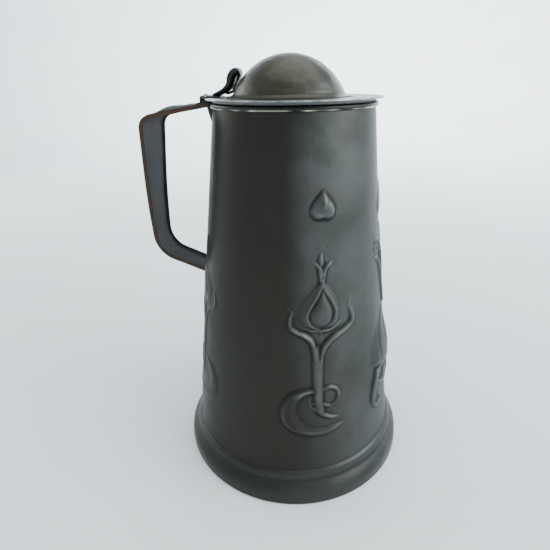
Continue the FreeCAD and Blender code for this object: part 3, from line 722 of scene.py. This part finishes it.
# ---- handle strap -------------------------------------------------------------------------
def rounded(corners, radii, step=1.2):
    """Points along straight runs with rounded corners."""
    p = [np.array(c, float) for c in corners]
    out = [p[0]]
    for i, radius in enumerate(radii, 1):
        u = (p[i - 1] - p[i]) / np.linalg.norm(p[i - 1] - p[i])
        v = (p[i + 1] - p[i]) / np.linalg.norm(p[i + 1] - p[i])
        half = math.acos(float(np.clip(u @ v, -1, 1))) / 2
        reach = radius / math.tan(half)
        a, b = p[i] + u * reach, p[i] + v * reach
        centre = p[i] + (u + v) / np.linalg.norm(u + v) * radius / math.sin(half)
        n = max(4, int(radius * (math.pi - 2 * half) / step))
        for k in range(n + 1):
            f = k / n
            way = (a - centre) * (1 - f) + (b - centre) * f
            out.append(centre + way / np.linalg.norm(way) * radius)
    out.append(p[-1])
    return dense(np.array(out), step)


def strap_section():
    """Cross-section of the strap, as (across from -1 to 1, depth in mm), and how its points are grouped.

    It runs along the outside, round one edge, back along the inside and round the other edge. The numbers
    after it are how many points are outside, and the first and last point of the web's inside.
    """
    k = np.linspace(-1, 1, 23)
    outside = [(a, 0.0) for a in k[1:-1]]
    edge = [(1.0, 0.25), (1.0, 1.2), (1.0, 2.2), (0.985, 2.6), (0.95, 2.7), (0.925, 2.4), (0.92, 1.7)]
    web = [(a, 1.25) for a in k[::-1][2:-2]]
    other_edge = [(-a, depth) for a, depth in edge[::-1]]
    section = outside + edge + [(0.90, 1.3)] + web + [(-0.90, 1.3)] + other_edge
    first_web = len(outside) + len(edge) + 1
    return section, len(outside), first_web, first_web + len(web) - 1


def close_ends(strap, rows, section, outside, first_web, last_web):
    """Caps both ends of the strap: a strip of quads under the back, and a face on each turned-in edge."""
    bm = bmesh.new()
    bm.from_mesh(strap.data)
    bm.verts.ensure_lookup_table()
    for base in (0, (rows - 1) * len(section)):
        ids = [base + j for j in range(len(section))]
        pairs = list(zip(ids[1:outside - 1], ids[first_web:last_web + 1][::-1]))
        caps = [(a, c, d, b) for (a, b), (c, d) in zip(pairs[:-1], pairs[1:])]
        caps += [ids[outside - 2:first_web + 1], ids[last_web:] + ids[:2]]
        for cap in caps:
            bm.faces.new([bm.verts[i] for i in cap])
    bmesh.ops.recalc_face_normals(bm, faces=bm.faces)
    bm.to_mesh(strap.data)
    bm.free()


def build_strap():
    """Sheet strap: a slightly crowned back, both edges turned in, rubbed brown along them."""
    # its side view, as (out from the axis, height)
    line = rounded([(47.5, 252.55), (94.9, 244.4), (98.5, 190.0), (98.3, 151.0), (56.0, 135.4)],
                   [9.5, 500.0, 20.0])
    ahead = np.gradient(line, axis=0)
    ahead /= np.linalg.norm(ahead, axis=1, keepdims=True)
    inward = np.stack([ahead[:, 1], -ahead[:, 0]], -1)
    u, z = line[:, 0], line[:, 1]
    corner_z = 244.0
    top_run = np.arange(len(line)) < np.argmax(z < corner_z)
    width = np.where(top_run, np.interp(u, [47, 60, 84, 95], [13, 13, 18.4, 18.6]),
                     np.interp(z, [136, 142, corner_z], [11, 11, 18.6]))
    swell = smooth(u, 59.5, 66) * (1.5 + 1.0 * smooth(u, 68, 79)) * (1 - smooth(u, 79.5, 88))
    crown = np.where(top_run, swell, 0.0)
    section, outside, first_web, last_web = strap_section()
    rows, marks = [], []
    for i in range(len(line)):
        ring, mark = [], []
        for a, depth in section:
            hand = 0.12 * math.sin(i * 0.11 + a * 2.0) + 0.08 * math.sin(i * 0.37 - a)
            broad = depth < 2 and abs(a) < 0.9
            d = depth - crown[i] * (1 - a * a) + (hand if broad else 0.0) + 0.12
            at = line[i] + inward[i] * d
            ring.append((-at[0], width[i] * a, at[1]))
            mark.append(1.0 if abs(a) > 0.97 else 0.0)
        rows.append(ring)
        marks.append(mark)
    points = np.array(rows)
    # the upper end follows the bead, the lower end the wall
    x, y, z = points[..., 0], points[..., 1], points[..., 2]
    least = np.where(z > 200, BEAD_R + 0.25, wall_r(z) + 0.5)
    short = np.hypot(x, y) < least
    points[..., 0] = np.where(short, -np.sqrt(np.maximum(least ** 2 - y ** 2, 1)), x)
    strap = grid_mesh("handle_strap_sheet", points, "vessel", strap_metal, np.array(marks),
                      loop_rows=False)
    close_ends(strap, len(points), section, outside, first_web, last_web)
    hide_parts("handle_strap")


build_strap()


# ---- thumbpiece ---------------------------------------------------------------------------
def build_thumbpiece():
    """Strip of sheet rising from the leaf, rolled over at the top, its narrowed end brought down again."""
    # its side view, as (out from the axis, height)
    line = flowing([(49.6, BRIM_TOP + 1.45), (46.2, 256.6), (42.2, 258.4), (39.6, 260.8), (38.5, 263.4),
                    (37.8, 265.8), (36.4, 267.8), (34.6, 268.9), (33.2, 268.0), (32.9, 266.3), (33.9, 264.2),
                    (35.1, 261.9), (36.3, 259.6), (37.4, 257.6), (39.6, 256.4), (42.4, 256.0)], 4)
    n = len(line)
    ahead = np.gradient(line, axis=0)
    ahead /= np.linalg.norm(ahead, axis=1, keepdims=True)
    side = np.stack([ahead[:, 1], -ahead[:, 0]], -1)
    along = np.linspace(0, 1, n)
    half = np.interp(along, [0, 0.12, 0.3, 0.42, 0.52, 0.62, 0.75, 1],
                     [7.9, 7.2, 6.6, 6.2, 5.6, 3.6, 1.8, 2.6])
    thick = np.interp(along, [0, 0.15, 0.3, 0.42, 0.55, 0.7, 1], [0.9, 1.6, 2.4, 2.2, 1.3, 0.7, 0.7])
    # a rounded oblong section, drawn to a point at both ends
    turn = np.linspace(0, TAU, 28, endpoint=False)
    across = np.sign(np.cos(turn)) * np.abs(np.cos(turn)) ** 0.5
    through = np.sign(np.sin(turn)) * np.abs(np.sin(turn)) ** 0.6
    close = np.ones(n)
    close[[0, -1]] = 0.03
    rows, marks = [], []
    for i in range(n):
        w = half[i] * across * close[i] + 0.12 * math.sin(i * 0.5)
        d = thick[i] * through * close[i] - 0.25 * (1 - across ** 2) * close[i]
        at = line[i] + side[i] * d[:, None]
        rows.append(np.stack([-at[:, 0], w, at[:, 1]], -1))
        marks.append(np.where(np.abs(across) > 0.93, 0.3, -0.1))
    thumb = grid_mesh("thumbpiece_strip", np.array(rows), "lid", thumb_dark, np.array(marks),
                      loop_rows=False)
    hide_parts("thumbpiece")


build_thumbpiece()


# ---- camera, light, floor -----------------------------------------------------------------
def make_camera():
    """The photograph's view: just above the rim, close, looking down."""
    data = bpy.data.cameras.new("view_camera")
    data.sensor_width, data.lens = 36.0, 27.3
    data.clip_start, data.clip_end = 0.02, 20
    cam = bpy.data.objects.new("view_camera", data)
    bpy.context.scene.collection.objects.link(cam)
    cam.location = (0.0348, -0.2739, 0.2636)
    aim = Euler((math.radians(64.89), 0, math.radians(10.0)), "XYZ").to_matrix()
    roll = Matrix.Rotation(math.radians(-1.02), 3, "Z")
    cam.rotation_euler = (aim @ roll).to_euler("XYZ")
    bpy.context.scene.camera = cam


def make_floor():
    """Pale table under the tankard, rising all round into a far wall so that no horizon shows."""
    around = 96
    bend_from, bend_r = 1.5, 2.2
    bend = np.radians(np.linspace(0, 92, 46))
    flat = np.array([(r, 0.0) for r in (0.001, 0.25, 0.6, 1.0, 1.4)])
    wall = np.stack([bend_from + bend_r * np.sin(bend), bend_r * (1 - np.cos(bend))], -1)
    outline = np.vstack([flat, wall])
    turn = np.linspace(0, TAU, around, endpoint=False)
    verts = [(r * math.cos(a), r * math.sin(a), z) for r, z in outline for a in turn]
    faces = []
    for low in range(0, (len(outline) - 1) * around, around):
        high = low + around
        for j in range(around):
            k = (j + 1) % around
            faces.append((low + j, low + k, high + k, high + j))
    faces.append(tuple(range(around)))
    mesh = bpy.data.meshes.new("floor")
    mesh.from_pydata(verts, [], faces)
    mesh.polygons.foreach_set("use_smooth", [True] * len(faces))
    floor = bpy.data.objects.new("floor", mesh)
    bpy.context.scene.collection.objects.link(floor)
    mat, tree, shader = tree_of("floor_paper")
    coords = tree.nodes.new("ShaderNodeTexCoord").outputs["Object"]
    cloud = ramp(tree, noise(tree, coords, 3.0, 2.0, 0.5), ((0.3, 0.0), (0.7, 1.0)))
    colour = mix(tree, cloud, (0.79, 0.84, 0.865), (0.83, 0.87, 0.885))
    tree.links.new(colour, shader.inputs["Base Color"])
    shader.inputs["Roughness"].default_value = 0.9
    mesh.materials.append(mat)


def area(name, place, target, size, power, colour=(1, 1, 1)):
    """A soft rectangular light at place, facing target."""
    data = bpy.data.lights.new(name, "AREA")
    data.shape = "RECTANGLE"
    data.size, data.size_y = size
    data.energy = power
    data.color = colour
    light = bpy.data.objects.new(name, data)
    bpy.context.scene.collection.objects.link(light)
    light.location = place
    light.rotation_euler = (Vector(target) - Vector(place)).to_track_quat("-Z", "Y").to_euler()


def make_sky():
    """Even pale light from all round."""
    world = bpy.data.worlds.new("studio")
    bpy.context.scene.world = world
    world.use_nodes = True
    sky = world.node_tree.nodes["Background"]
    sky.inputs["Color"].default_value = (0.82, 0.88, 0.91, 1)
    sky.inputs["Strength"].default_value = 0.95


make_camera()
make_floor()
area("window", (1.35, -0.25, 0.85), (0, 0, 0.12), (1.2, 1.0), 24, (0.95, 0.98, 1.0))
area("ceiling", (0.2, 0.3, 1.9), (0, 0, 0.1), (1.8, 1.8), 20)
area("backdrop", (0.1, 1.3, 1.9), (0.3, 3.4, 0.6), (1.6, 0.6), 185, (0.93, 0.985, 1.0))
area("left_fill", (-1.2, 0.35, 0.6), (0, 0, 0.15), (0.8, 0.8), 6)
make_sky()
